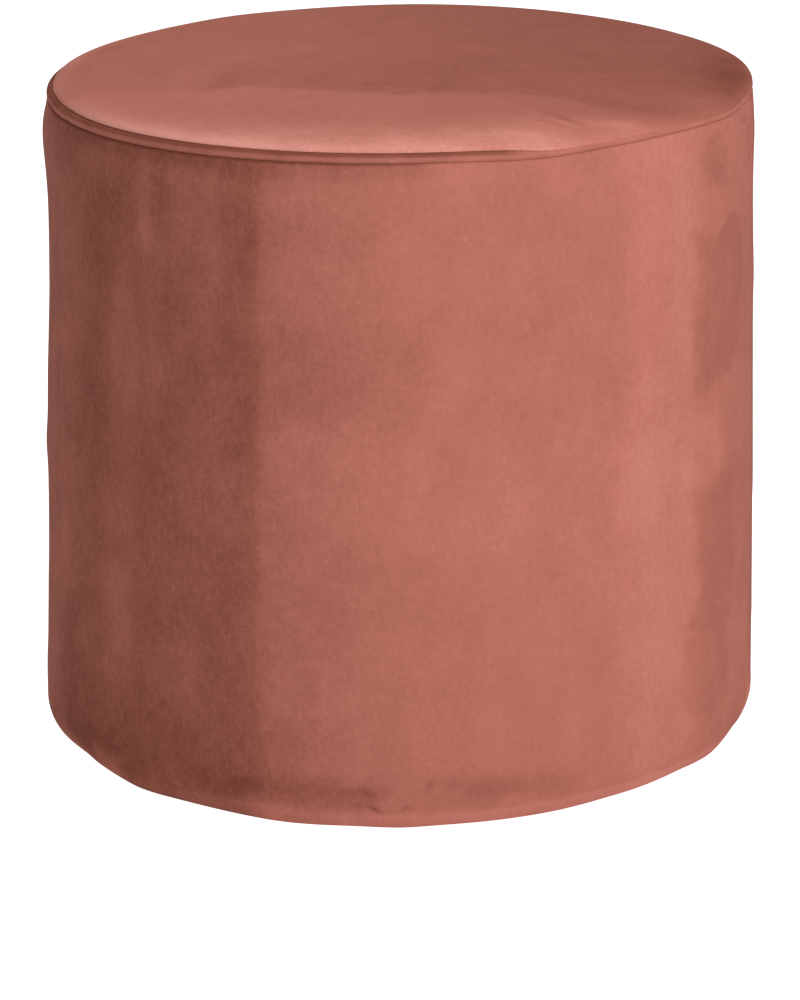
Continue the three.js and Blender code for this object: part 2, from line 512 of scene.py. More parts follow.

# How the pile lies, stroke by stroke: -1 is away from the eye and 1 is towards it. A few dark
# strokes along the seam are painted shade instead. Turn, half, edge and wave are in degrees, height
# and tall in millimetres. Edge is how softly a stroke ends, and wave how raggedly. A degree round
# the drum is DEGREE_OF_CLOTH millimetres of cloth, up as well as across.
SIDE_STROKES = [
    {"turn": -80, "half": 58, "height": 210, "tall": 400, "edge": 1.0, "wave": 0.8, "lay_and_shading": -0.24},
    {"turn": -100, "half": 33, "height": 210, "tall": 400, "edge": 3.0, "wave": 1.6, "lay_and_shading": 0.14},
    {"turn": -49, "half": 3.5, "height": 215, "tall": 150, "edge": 1.2, "wave": 0.9, "lay_and_shading": 0.1},
    {"turn": -50, "half": 3, "height": 298, "tall": 34, "edge": 1.0, "wave": 0.9, "lay_and_shading": 0.17},
    {"turn": -49.5, "half": 3, "height": 122, "tall": 30, "edge": 1.0, "wave": 0.9, "lay_and_shading": 0.17},
    {"turn": -43.5, "half": 1.3, "height": 390, "tall": 34, "edge": 0.7, "wave": 0.4, "lay_and_shading": 0.18},
    {"turn": -40, "half": 1.9, "height": 360, "tall": 58, "edge": 0.8, "wave": 0.5, "lay_and_shading": -0.12},
    {"turn": -25.5, "half": 3, "height": 330, "tall": 95, "edge": 1.2, "wave": 0.7, "lay_and_shading": -0.13},
    {"turn": -26, "half": 4, "height": 118, "tall": 55, "edge": 1.5, "wave": 1.0, "lay_and_shading": -0.1},
    {"turn": -63, "half": 9, "height": 247, "tall": 20, "edge": 2.0, "wave": 1.6, "lay_and_shading": -0.13},
    {"turn": -54, "half": 5, "height": 360, "tall": 35, "edge": 1.6, "wave": 1.2, "lay_and_shading": -0.1},
    {"turn": -65, "half": 3, "height": 70, "tall": 45, "edge": 1.5, "wave": 1.2, "lay_and_shading": -0.14},
    {"turn": -48, "half": 24, "height": 0, "tall": 66, "edge": 4.0, "wave": 2.6, "lay_and_shading": -0.2},
    # This stroke is painted shade under the piping, not a turn of the pile.
    {"turn": -38, "half": 42, "height": 430, "tall": 16, "edge": 0.9, "wave": 0.4, "lay_and_shading": -0.25},
    {"turn": -9, "half": 13, "height": 285, "tall": 34, "edge": 1.6, "wave": 1.4, "lay_and_shading": -0.1},
    {"turn": 1, "half": 20, "height": 217, "tall": 38, "edge": 2.0, "wave": 1.6, "lay_and_shading": 0.08},
    {"turn": 7, "half": 2.5, "height": 232, "tall": 15, "edge": 1.2, "wave": 1.0, "lay_and_shading": -0.1},
    {"turn": 24, "half": 11, "height": 350, "tall": 95, "edge": 3.0, "wave": 2.0, "lay_and_shading": -0.07},
    {"turn": 46, "half": 9, "height": 210, "tall": 400, "edge": 2.2, "wave": 1.2, "lay_and_shading": 0.16},
    {"turn": 45, "half": 4, "height": 128, "tall": 55, "edge": 1.6, "wave": 1.0, "lay_and_shading": 0.1},
    {"turn": 40, "half": 5, "height": 207, "tall": 30, "edge": 1.5, "wave": 1.0, "lay_and_shading": 0.1},
    {"turn": 57, "half": 6, "height": 212, "tall": 18, "edge": 1.2, "wave": 1.4, "lay_and_shading": 0.16},
    {"turn": 61, "half": 7.5, "height": 300, "tall": 55, "edge": 0.6, "wave": 2.2, "lay_and_shading": -0.22},
    {"turn": 75, "half": 8, "height": 300, "tall": 55, "edge": 1.5, "wave": 2.2, "lay_and_shading": -0.1},
    {"turn": 60, "half": 6.5, "height": 146, "tall": 47, "edge": 0.6, "wave": 2.2, "lay_and_shading": -0.18},
    {"turn": 74, "half": 8, "height": 146, "tall": 47, "edge": 1.5, "wave": 2.2, "lay_and_shading": -0.07},
    {"turn": 59, "half": 7, "height": 66, "tall": 32, "edge": 0.9, "wave": 1.8, "lay_and_shading": -0.14},
    {"turn": 71, "half": 5, "height": 84, "tall": 12, "edge": 1.2, "wave": 1.2, "lay_and_shading": 0.1},
    {"turn": 60, "half": 4, "height": 396, "tall": 13, "edge": 1.0, "wave": 1.4, "lay_and_shading": -0.2},
    {"turn": 88, "half": 8, "height": 210, "tall": 400, "edge": 1.6, "wave": 1.0, "lay_and_shading": -0.28},
    {"turn": -42, "half": 2.2, "height": 318, "tall": 62, "edge": 1.2, "wave": 0.8, "lay_and_shading": 0.18},
    {"turn": -35, "half": 8, "height": 385, "tall": 32, "edge": 2.5, "wave": 1.2, "lay_and_shading": 0.13},
    {"turn": -66, "half": 4, "height": 240, "tall": 120, "edge": 1.5, "wave": 1.2, "lay_and_shading": 0.13},
    {"turn": -54, "half": 3.5, "height": 10, "tall": 16, "edge": 1.2, "wave": 0.8, "lay_and_shading": 0.4},
    {"turn": -34, "half": 4, "height": 4, "tall": 11, "edge": 1.2, "wave": 0.6, "lay_and_shading": 0.16},
    {"turn": -67, "half": 4, "height": 6, "tall": 12, "edge": 1.0, "wave": 0.6, "lay_and_shading": 0.2},
    {"turn": -79, "half": 5, "height": 6, "tall": 14, "edge": 1.2, "wave": 0.6, "lay_and_shading": -0.4},
    {"turn": 82, "half": 6, "height": 21, "tall": 9, "edge": 1.2, "wave": 0.6, "lay_and_shading": 0.35},
    {"turn": 69, "half": 5, "height": 8, "tall": 9, "edge": 1.2, "wave": 0.6, "lay_and_shading": -0.2},
    {"turn": -15, "half": 6, "height": 50, "tall": 16, "edge": 1.6, "wave": 1.6, "lay_and_shading": -0.13},
    {"turn": -66, "half": 6, "height": 406, "tall": 10, "edge": 1.2, "wave": 0.8, "lay_and_shading": -0.13},
    # The next two strokes are painted shade in the seam's puckers.
    {"turn": 60, "half": 2.4, "height": 413, "tall": 2, "edge": 0.5, "wave": 0.5, "lay_and_shading": -0.3},
    {"turn": 73.5, "half": 0.9, "height": 414, "tall": 2, "edge": 0.4, "wave": 0.2, "lay_and_shading": -0.45},
    {"turn": 76.5, "half": 1.3, "height": 398, "tall": 14, "edge": 0.5, "wave": 0.5, "lay_and_shading": -0.16},
    {"turn": 180, "half": 60, "height": 210, "tall": 400, "edge": 5.0, "wave": 1.6, "lay_and_shading": 0.24},
    {"turn": 138, "half": 26, "height": 210, "tall": 400, "edge": 3.0, "wave": 2.4, "lay_and_shading": -0.26},
    {"turn": 120, "half": 12, "height": 270, "tall": 60, "edge": 1.0, "wave": 2.2, "lay_and_shading": -0.15},
    {"turn": 168, "half": 14, "height": 120, "tall": 55, "edge": 1.2, "wave": 2.2, "lay_and_shading": -0.16},
    {"turn": -165, "half": 12, "height": 210, "tall": 400, "edge": 3.0, "wave": 2.0, "lay_and_shading": 0.15},
    {"turn": -146, "half": 7, "height": 300, "tall": 80, "edge": 1.4, "wave": 1.6, "lay_and_shading": -0.15},
]
DEGREE_OF_CLOTH = 4

# The lay in broad areas: darker to the left, lighter in the fold and darker in patches above the fold.
# Painted shade darkens the creases and the roll where the side turns in at the seam. Turns are in
# degrees, and the rest is in millimetres.
SIDE_LAY = -0.12
LAY_AT_LEFT = {"to": -12, "to_soft": 14, "lay_and_shading": -0.26}
LAY_IN_FOLD = {"to": 12, "to_soft": 1.4, "lay_and_shading": 0.28}
FOLD_LESS_AT_LEFT = {"from": -60, "from_soft": 0.05, "to": -24, "to_soft": 6, "less": 0.7}
LAY_ABOVE_FOLD = {"height": 25, "tall": 9, "lay_and_shading": -0.32}
PATCH_SOFT = 0.25
BETWEEN_PATCHES = 0.3
BETWEEN_MARKS = 0.2
MARKS_ABOVE_FOLD = [
    {"turn": -14, "half": 12, "strength": 1},
    {"turn": -40, "half": 16, "strength": 0.6},
    {"turn": 12, "half": 14, "strength": 0.6},
]
PAINTED_SHADE_IN_SEAM = {"to": 4, "to_soft": 10, "lay_and_shading": -0.5}
SIDE_TURNS_IN = {"from": -0.4, "from_soft": 0.5}
PAINTED_SHADE_IN_CREASES = -0.55

# How rough the pile is: rougher at the left and the back.
SIDE_RUFFLE = 0.95
ROUGHER_AT_LEFT = {"from": -110, "from_soft": 15, "to": -8, "to_soft": 10, "by": 0.4}
ROUGHER_AT_BACK = {"from": 120, "from_soft": 20, "by": 0.5}

turn_wave = ragged(side_turn, side_height, seed=71)
height_wave = ragged(side_turn, side_height, seed=81)
side_lay_and_shading = SIDE_LAY + LAY_AT_LEFT["lay_and_shading"] * stretch(side_degrees, LAY_AT_LEFT)
for stroke in SIDE_STROKES:
    off = off_turn(side_degrees + stroke["wave"] * turn_wave, stroke["turn"])
    above = side_height / MM + DEGREE_OF_CLOTH * stroke["wave"] * height_wave - stroke["height"]
    edge = stroke["edge"]
    end = DEGREE_OF_CLOTH * edge
    inside = soft_step(off, -stroke["half"], edge) - soft_step(off, stroke["half"], edge)
    level = soft_step(above, -stroke["tall"], end) - soft_step(above, stroke["tall"], end)
    side_lay_and_shading = side_lay_and_shading + stroke["lay_and_shading"] * inside * level
low = stretch(side_height / MM + height_wave, LAY_IN_FOLD)
low = low * (1 - FOLD_LESS_AT_LEFT["less"] * stretch(side_degrees, FOLD_LESS_AT_LEFT))
side_lay_and_shading = side_lay_and_shading + LAY_IN_FOLD["lay_and_shading"] * low
patchy = BETWEEN_PATCHES + soft_step(ragged(side_turn, side_height, seed=31), 0, PATCH_SOFT)
marked = BETWEEN_MARKS
for mark in MARKS_ABOVE_FOLD:
    marked = marked + mark["strength"] * bump(side_degrees, mark["turn"], mark["half"])
above_fold = bump(side_height / MM, LAY_ABOVE_FOLD["height"], LAY_ABOVE_FOLD["tall"])
side_lay_and_shading = side_lay_and_shading + LAY_ABOVE_FOLD["lay_and_shading"] * patchy * above_fold * np.minimum(1, marked)
# Painted shade where the side turns in under the piping at the seam.
past_seam = (side_height + seam_sag(side_turn) - SEAM_HEIGHT) / MM
shade_in_seam = stretch(past_seam, SIDE_TURNS_IN) * stretch(side_degrees, PAINTED_SHADE_IN_SEAM)
side_lay_and_shading = side_lay_and_shading + PAINTED_SHADE_IN_SEAM["lay_and_shading"] * shade_in_seam + PAINTED_SHADE_IN_CREASES * creased
side_ruffle = SIDE_RUFFLE + ROUGHER_AT_LEFT["by"] * stretch(side_degrees, ROUGHER_AT_LEFT)
at_back = stretch(np.abs(side_degrees), ROUGHER_AT_BACK)
side_ruffle = side_ruffle + ROUGHER_AT_BACK["by"] * at_back

side_cloth = np.stack(
    np.broadcast_arrays(
        np.hstack([side_turn, side_turn[:, :1] + 2 * math.pi]) * BASE_RADIUS, side_along
    ),
    axis=-1,
)
side_panel = sewn_round(
    "side_panel_cloth", side_turn, side_radius, side_height, side_cloth, side_lay_and_shading, side_ruffle
)


def linear(code):
    """An sRGB hex colour as linear red, green, blue and a full alpha."""
    parts = [int(code[i : i + 2], 16) / 255 for i in (0, 2, 4)]
    return [p / 12.92 if p <= 0.04045 else ((p + 0.055) / 1.055) ** 2.4 for p in parts] + [1]


def add(tree, kind, inputs=(), **settings):
    """Adds one node. An input is linked where it is given a socket, and otherwise set."""
    node = tree.nodes.new(kind)
    for key, value in settings.items():
        setattr(node, key, value)
    for key, value in dict(inputs).items():
        if isinstance(value, bpy.types.NodeSocket):
            tree.links.new(value, node.inputs[key])
        else:
            node.inputs[key].default_value = value
    return node


# Velvet: a cotton-like ground with a cut pile about 1.5 mm long, woven and sheared. It looks deep
# and dark where the pile lies away from the eye, pale where it leans towards it, and mottled
# between by grain, tufts, clouds and flecks, with the ground's fine upright lines. The pile is too
# fine to show, so its grain is drawn about three times too coarse. Tufts and clouds are a little
# longer upwards. The attribute of the lay also carries painted shade and painted highlights.
PILE_AWAY = "7d4536"
PILE_UPRIGHT = "b66f60"
PILE_TOWARDS = "dc9789"
PILE_SHEEN = "c08078"
PILE_GRAIN = 1.3 * MM
PILE_TUFT = 4 * MM
PILE_FLECK = 2.4 * MM
PILE_CLOUD = 26 * MM
PILE_UPWARD = 0.8
GROUND_LINE = 1.3 * MM
GROUND_LINE_LENGTH = 30 * MM
FLECKS = {"from": 0.58, "full": 0.74, "paler": 0.11}


def velvet(name):
    """Velvet whose colour runs from away to towards by the lay attribute, with its painted light and
    shade, and five mottling noises.
    """
    material = bpy.data.materials.new(name)
    material.use_nodes = True
    tree = material.node_tree
    tree.nodes.clear()
    where = add(tree, "ShaderNodeTexCoord").outputs["Object"]
    cloth = add(tree, "ShaderNodeUVMap", uv_map="cloth").outputs["UV"]
    lay_and_shading = add(tree, "ShaderNodeAttribute", attribute_name="lay_and_shading").outputs["Fac"]
    ruffle = add(tree, "ShaderNodeAttribute", attribute_name="ruffle").outputs["Fac"]
    upright = add(tree, "ShaderNodeMapping", {"Vector": where, "Scale": (1, 1, PILE_UPWARD)})
    lines_at = add(
        tree,
        "ShaderNodeMapping",
        {"Vector": cloth, "Scale": (1 / GROUND_LINE, 1 / GROUND_LINE_LENGTH, 1)},
    )
    drawn_out = upright.outputs["Vector"]
    patterns = [
        {"at": where, "scale": 1 / PILE_GRAIN, "detail": 1, "amount": 0.13},
        {"at": drawn_out, "scale": 1 / PILE_TUFT, "detail": 2, "amount": 0.17},
        {"at": drawn_out, "scale": 1 / PILE_CLOUD, "detail": 3, "amount": 0.2},
        {"at": lines_at.outputs["Vector"], "scale": 1, "detail": 1, "amount": 0.06},
    ]
    mottle = 0.0
    for row in patterns:
        noise = add(
            tree,
            "ShaderNodeTexNoise",
            {"Vector": row["at"], "Scale": row["scale"], "Detail": row["detail"]},
        )
        centred = add(
            tree, "ShaderNodeMath", {0: noise.outputs["Fac"], 1: 0.5}, operation="SUBTRACT"
        )
        mottle = add(
            tree,
            "ShaderNodeMath",
            {0: centred.outputs[0], 1: 2 * row["amount"], 2: mottle},
            operation="MULTIPLY_ADD",
        ).outputs[0]
    fleck = add(tree, "ShaderNodeTexNoise", {"Vector": where, "Scale": 1 / PILE_FLECK, "Detail": 1})
    raised = add(
        tree,
        "ShaderNodeMapRange",
        {
            "Value": fleck.outputs["Fac"],
            "From Min": FLECKS["from"],
            "From Max": FLECKS["full"],
            "To Max": FLECKS["paler"],
        },
        interpolation_type="SMOOTHSTEP",
    )
    mottle = add(
        tree, "ShaderNodeMath", {0: mottle, 1: raised.outputs["Result"]}, operation="ADD"
    ).outputs[0]
    total = add(
        tree, "ShaderNodeMath", {0: mottle, 1: ruffle, 2: lay_and_shading}, operation="MULTIPLY_ADD"
    ).outputs[0]
    share = add(
        tree, "ShaderNodeMapRange", {"Value": total, "From Min": -1, "From Max": 1}
    ).outputs["Result"]
    colour = add(tree, "ShaderNodeValToRGB", {"Fac": share})
    ramp = colour.color_ramp
    ramp.elements[0].color = linear(PILE_AWAY)
    ramp.elements[1].color = linear(PILE_TOWARDS)
    ramp.elements.new(0.5).color = linear(PILE_UPRIGHT)
    grain = add(
        tree, "ShaderNodeTexNoise", {"Vector": where, "Scale": 1 / PILE_GRAIN, "Detail": 2}
    )
    relief = add(
        tree,
        "ShaderNodeBump",
        {"Height": grain.outputs["Fac"], "Strength": 0.25, "Distance": 0.4 * MM},
    )
    surface = add(
        tree,
        "ShaderNodeBsdfPrincipled",
        {
            "Base Color": colour.outputs["Color"],
            "Normal": relief.outputs["Normal"],
            "Roughness": 0.95,
            "Specular IOR Level": 0.1,
            "Sheen Weight": 0.06,
            "Sheen Roughness": 0.3,
            "Sheen Tint": linear(PILE_SHEEN),
        },
    )
    add(tree, "ShaderNodeOutputMaterial", {"Surface": surface.outputs["BSDF"]})
    return material


pouf_velvet = velvet("terracotta_velvet")
side_panel.data.materials.append(pouf_velvet)
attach(side_panel, "root")
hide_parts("side_panel")

# Piping
# A cord covered with a bias strip of the same velvet, sewn into the top seam all the way round.
# Its pile lies down over the cord, so it looks dark above and light below.
PIPING_COLUMNS = 720
PIPING_SIDES = 24
PIPING_UNEVEN = 0.07 * MM

# The lay round the cord, by its angle above the outermost line, and how it changes along the turn.
PIPING_LAY = -0.1
PIPING_ABOVE = {"from": 20, "from_soft": 14, "lay_and_shading": -0.85}
PIPING_BELOW = {"to": -40, "to_soft": 8}
PALER_AT_RIGHT = {"from": 17, "from_soft": 4, "to": 98, "to_soft": 6, "by": 0.85}
PIPING_LAY_WAVE = 0.12
PIPING_RUFFLE = 0.8

piping_turn = np.linspace(-math.pi, math.pi, PIPING_COLUMNS, endpoint=False)[None, :]
piping_degrees = np.degrees(piping_turn)
round_cord = np.radians(np.linspace(-180, 180, PIPING_SIDES, endpoint=False))[:, None]
uneven = wander(piping_turn, along=0, most_round=90, pitch=1, seed=21)
cord_radius = PIPING_RADIUS + PIPING_UNEVEN * uneven
piping_radius = PIPING_CENTRE + cord_radius * np.cos(round_cord) - seam_pucker(piping_turn)
piping_height = PIPING_HEIGHT + cord_radius * np.sin(round_cord) - seam_sag(piping_turn)
cord_degrees = np.degrees(round_cord)
dark = 1 - PALER_AT_RIGHT["by"] * stretch(piping_degrees, PALER_AT_RIGHT)
piping_lay_and_shading = PIPING_LAY + PIPING_ABOVE["lay_and_shading"] * stretch(cord_degrees, PIPING_ABOVE) * dark
# Painted shade on the cord's underside, in the groove at the seam.
shade_in_seam = stretch(cord_degrees, PIPING_BELOW) * stretch(piping_degrees, PAINTED_SHADE_IN_SEAM)
lay_wave = wander(piping_turn, along=0, most_round=60, pitch=1, seed=23)
piping_lay_and_shading = piping_lay_and_shading + PAINTED_SHADE_IN_SEAM["lay_and_shading"] * shade_in_seam + PIPING_LAY_WAVE * lay_wave
closed_turn = np.hstack([piping_turn, piping_turn[:, :1] + 2 * math.pi])
closed_cord = np.radians(np.linspace(-180, 180, PIPING_SIDES + 1))[:, None]
piping_cloth = np.stack(
    np.broadcast_arrays(closed_turn * PIPING_CENTRE, closed_cord * PIPING_RADIUS), axis=-1
)
piping = sewn_round(
    "piping_cord", piping_turn, piping_radius, piping_height, piping_cloth, piping_lay_and_shading, PIPING_RUFFLE
)
piping.data.materials.append(pouf_velvet)
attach(piping, "root")
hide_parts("piping")

# Top panel
# A round of velvet over the filling. It wraps over the piping, turns over at a soft shoulder and
# rises to a low crown. At the right front the shoulder sits out over the piping, almost flush.
TOP_COLUMNS = 560
INNER_ROWS = 56
TOP_EDGE_ABOVE_PIPING = 9.3 * MM
CROWN_RISE = 4.2 * MM

# How tightly the shoulder turns, more softly where it is flush, and where the crease lies on the
# piping, in degrees from its outermost line: further out at the front, and furthest where flush.
SHOULDER_POWER = 24
FLUSH_POWER = 8
CREASE_ANGLE = 100
LESS_AT_FRONT = 22
LESS_WHERE_FLUSH = 76
FRONT = {"from": -62, "from_soft": 12, "to": 20, "to_soft": 4}
FLUSH = {"from": 20, "from_soft": 4, "to": 100, "to_soft": 6}

# The shoulder's rows in degrees of its quarter turn: even at first, then closer and closer to 90.
OVER_EVENLY = np.linspace(4, 60, 15)
OVER_CLOSELY = 90 - np.geomspace(27, 0.05, 26)

# Where the edge stands higher or lower. The change fades towards the middle of the top.
TOP_SAG_REACH = 8 * MM
TOP_PUCKER_REACH = 7 * MM
EDGE_PART = {"from": 165, "from_soft": 22}
EDGE_CHANGES = [
    {"turn": 178, "half": 32, "higher": 0.9},
    {"turn": -130, "half": 11, "higher": -0.8},
    {"turn": -148, "half": 8, "higher": 0.6},
    {"turn": 128, "half": 23, "higher": -1.4},
]

# Two small wrinkles at the right front, each a soft trough: its ends, its width and its depth.
TOP_WRINKLES = [
    {"from": (92, -150), "to": (110, -170), "wide": 2.6, "deep": 0.9},
    {"from": (85, -162), "to": (102, -178), "wide": 2.2, "deep": 0.7},
]

# How the pile lies on top: across from left to right, then a painted highlight towards the front,
# where the edge slopes down towards the lamps, then mark by mark. Places are in millimetres from the
# middle.
TOP_LAY = -0.33
TOP_LAY_ACROSS = {"middle": 15, "soft": 90, "lay_and_shading": -0.2}
PAINTED_LIGHT_AT_FRONT = {"from": 197, "from_soft": 25, "lay_and_shading": 0.58}
TOP_MARKS = [
    {"x": 212, "y": -20, "half_x": 22, "half_y": 75, "lay_and_shading": -0.3},
    {"x": 75, "y": -194, "half_x": 30, "half_y": 13, "lay_and_shading": 0.25},
    {"x": 95, "y": -170, "half_x": 38, "half_y": 14, "lay_and_shading": 0.34},
    {"x": 115, "y": -90, "half_x": 75, "half_y": 85, "lay_and_shading": 0.15},
    {"x": -95, "y": -125, "half_x": 60, "half_y": 30, "lay_and_shading": -0.07},
    {"x": 60, "y": -196, "half_x": 60, "half_y": 16, "lay_and_shading": 0.15},
    {"x": -65, "y": -150, "half_x": 32, "half_y": 28, "lay_and_shading": -0.09},
    # The next mark is a painted highlight on a small hump at the rim.
    {"x": 136, "y": -166, "half_x": 13, "half_y": 9, "lay_and_shading": 0.34},
    {"x": -110, "y": -35, "half_x": 12, "half_y": 22, "lay_and_shading": -0.1},
    {"x": -45, "y": -38, "half_x": 14, "half_y": 14, "lay_and_shading": -0.1},
    {"x": -20, "y": -66, "half_x": 12, "half_y": 8, "lay_and_shading": -0.1},
    {"x": 25, "y": -80, "half_x": 8, "half_y": 18, "lay_and_shading": -0.1},
    {"x": 150, "y": -130, "half_x": 26, "half_y": 18, "lay_and_shading": -0.08},
    {"x": 0, "y": 190, "half_x": 150, "half_y": 40, "lay_and_shading": 0.05},
]

# A hand has brushed a darker wedge into the pile. Its front edge runs through these points, it starts
# at a slanting line on the left, and it fades towards the back.
WEDGE_EDGE = [
    {"x": -140, "y": -75},
    {"x": -128, "y": -80},
    {"x": -100, "y": -65},
    {"x": 0, "y": -95},
    {"x": 65, "y": -95},
    {"x": 105, "y": -115},
    {"x": 130, "y": -140},
    {"x": 150, "y": -150},
]
WEDGE_START = {"x": -105, "slant": 0.28, "wave": 2}
WEDGE_FADING = {"to": 5, "to_soft": 32}
WEDGE_SOFT = 4
WEDGE_WAVE = 3
WEDGE_LAY = -0.14
IN_FRONT_OF_WEDGE = {"to": 85, "to_soft": 18, "lay_and_shading": 0.15}

# Near the edge: a painted highlight in a strip at the back left, on the shoulder's steep side and on
# the flush part of the shoulder, then past its corner a lighter band just over the piping. Last
# comes painted shade in the wrinkles.
PAINTED_BACK_LEFT_HIGHLIGHT = {"from": 211, "from_soft": 2, "wave": 2, "turn": -112, "half": 24, "lay_and_shading": 0.3}
SHOULDER_SHINE = 6 * MM
PAINTED_SHOULDER_HIGHLIGHT = 0.45
SHOULDER_LESS = {"from": -18, "from_soft": 6, "lay_and_shading": -0.3}
SHOULDER_MORE = {"turn": -46, "half": 20, "lay_and_shading": 0.55}
FLUSH_CORNER = {"from": 70, "from_soft": 4}
PAINTED_FLUSH_HIGHLIGHT = 0.25
BAND_OVER_PIPING = {"to": 20, "to_soft": 8, "lay_and_shading": 0.3}
PAINTED_SHADE_IN_WRINKLES = -0.45
TOP_RUFFLE = 0.8
ROUGHER_AT_FRONT = 0.9

top_turn = np.linspace(-math.pi, math.pi, TOP_COLUMNS, endpoint=False)[None, :]
top_degrees = np.degrees(top_turn)
in_front = stretch(top_degrees, FRONT)
flush = stretch(top_degrees, FLUSH)
clear = PIPING_RADIUS + CLOSE
crease_angle = CREASE_ANGLE - LESS_AT_FRONT * in_front - LESS_WHERE_FLUSH * flush
wrap_radius, wrap_height = ellipse_arc(
    PIPING_CENTRE, PIPING_HEIGHT, clear, clear, start=180, end=crease_angle, steps=12
)
crease_radius = wrap_radius[-1:]
top_edge = PIPING_HEIGHT + TOP_EDGE_ABOVE_PIPING
power = SHOULDER_POWER + (FLUSH_POWER - SHOULDER_POWER) * flush
over = np.radians(np.concatenate([OVER_EVENLY, OVER_CLOSELY]))[:, None]
shoulder_radius = crease_radius * np.cos(over) ** (2 / power)
shoulder_height = wrap_height[-1:] + (top_edge - wrap_height[-1:]) * np.sin(over)
inner = np.linspace(1, 0, INNER_ROWS)[1:, None]
inner_radius = shoulder_radius[-1:] * inner
inner_height = top_edge + 0 * inner_radius
crowned_radius = np.vstack([shoulder_radius, inner_radius])
crown = CROWN_RISE * (1 - (crowned_radius / crease_radius) ** 2)
crowned_height = np.vstack([shoulder_height, inner_height]) + crown
level_row = np.ones_like(top_turn)
under_radius = np.array([0, 0.6, 1])[:, None] * (PIPING_CENTRE - clear) * level_row
under_height = np.full((3, 1), PIPING_HEIGHT - clear + CLOSE) * level_row
top_radius = np.vstack([under_radius, wrap_radius, crowned_radius])
top_height = np.vstack([under_height, wrap_height, crowned_height])
flat_rows = 0 * inner_radius + math.pi / 2
over_rows = np.vstack([0 * under_radius, 0 * wrap_radius, over * level_row, flat_rows])

top_x = top_radius * np.sin(top_turn)
top_y = -top_radius * np.cos(top_turn)
near_edge = stretch(top_radius / MM, EDGE_PART) * np.sin(over_rows)
for change in EDGE_CHANGES:
    off = off_turn(top_degrees, change["turn"])
    top_height = top_height + change["higher"] * MM * bump(off, 0, change["half"]) * near_edge
wrinkled = 0
for wrinkle in TOP_WRINKLES:
    start = np.array(wrinkle["from"]) * MM
    way = np.array(wrinkle["to"]) * MM - start
    length = math.hypot(*way)
    along = ((top_x - start[0]) * way[0] + (top_y - start[1]) * way[1]) / length
    across = ((top_x - start[0]) * way[1] - (top_y - start[1]) * way[0]) / length
    trough = bump(along, length / 2, 0.6 * length) * bump(across, 0, wrinkle["wide"] * MM)
    top_height = top_height - wrinkle["deep"] * MM * trough * np.sin(over_rows)
    wrinkled = wrinkled + wrinkle["deep"] * trough

top_height = top_height - seam_sag(top_turn) * bump(top_height, PIPING_HEIGHT, TOP_SAG_REACH)
drawn_in = seam_pucker(top_turn) * bump(top_height, PIPING_HEIGHT, TOP_PUCKER_REACH)
top_radius = top_radius * (1 - drawn_in / PIPING_CENTRE)

top_wave = ragged(top_turn * top_radius / NECK_RADIUS, top_y + top_x / 3, seed=91)
x = top_x / MM
y = top_y / MM
across_top = np.tanh((x - TOP_LAY_ACROSS["middle"]) / TOP_LAY_ACROSS["soft"])
# Painted highlight towards the front, where the top's edge slopes down towards the lamps.
frontness = stretch(-y, PAINTED_LIGHT_AT_FRONT)
top_lay_and_shading = TOP_LAY + TOP_LAY_ACROSS["lay_and_shading"] * across_top + PAINTED_LIGHT_AT_FRONT["lay_and_shading"] * frontness
wedge_edge = np.interp(x, [point["x"] for point in WEDGE_EDGE], [point["y"] for point in WEDGE_EDGE])
behind_edge = soft_step(y - wedge_edge + WEDGE_WAVE * top_wave, 0, WEDGE_SOFT)
wedge_start = WEDGE_START["x"] + WEDGE_START["slant"] * y + WEDGE_START["wave"] * top_wave
wedge = behind_edge * soft_step(x, wedge_start, WEDGE_SOFT) * stretch(y, WEDGE_FADING)
before_wedge = (1 - behind_edge) * stretch(x, IN_FRONT_OF_WEDGE)
top_lay_and_shading = top_lay_and_shading + WEDGE_LAY * wedge + IN_FRONT_OF_WEDGE["lay_and_shading"] * before_wedge
for mark in TOP_MARKS:
    shape = bump(x, mark["x"], mark["half_x"]) * bump(y, mark["y"], mark["half_y"])
    top_lay_and_shading = top_lay_and_shading + mark["lay_and_shading"] * shape
# Painted highlight in a strip along the shoulder at the back left.
strip = stretch(top_radius / MM + PAINTED_BACK_LEFT_HIGHLIGHT["wave"] * top_wave, PAINTED_BACK_LEFT_HIGHLIGHT)
strip = strip * bump(top_degrees, PAINTED_BACK_LEFT_HIGHLIGHT["turn"], PAINTED_BACK_LEFT_HIGHLIGHT["half"])
top_lay_and_shading = top_lay_and_shading + PAINTED_BACK_LEFT_HIGHLIGHT["lay_and_shading"] * strip
# Painted highlight on the shoulder's steep side, just above the crease.
shine = np.exp(-(crease_radius - top_radius) / SHOULDER_SHINE) * (over_rows > 0)
less = stretch(top_degrees, SHOULDER_LESS)
more = bump(top_degrees, SHOULDER_MORE["turn"], SHOULDER_MORE["half"])
shoulder_highlight = PAINTED_SHOULDER_HIGHLIGHT + SHOULDER_LESS["lay_and_shading"] * less + SHOULDER_MORE["lay_and_shading"] * more
top_lay_and_shading = top_lay_and_shading + shoulder_highlight * shine * (1 - flush)
past_corner = stretch(top_degrees, FLUSH_CORNER)
# Painted highlight on the steep side of the flush part of the shoulder.
top_lay_and_shading = top_lay_and_shading + PAINTED_FLUSH_HIGHLIGHT * np.cos(over_rows) ** 2 * flush * (1 - past_corner)
band = stretch(np.degrees(over_rows), BAND_OVER_PIPING) * flush * past_corner
top_lay_and_shading = top_lay_and_shading + BAND_OVER_PIPING["lay_and_shading"] * band
# Painted shade in the wrinkles' troughs.
top_lay_and_shading = top_lay_and_shading + PAINTED_SHADE_IN_WRINKLES * wrinkled
top_ruffle = TOP_RUFFLE + ROUGHER_AT_FRONT * frontness

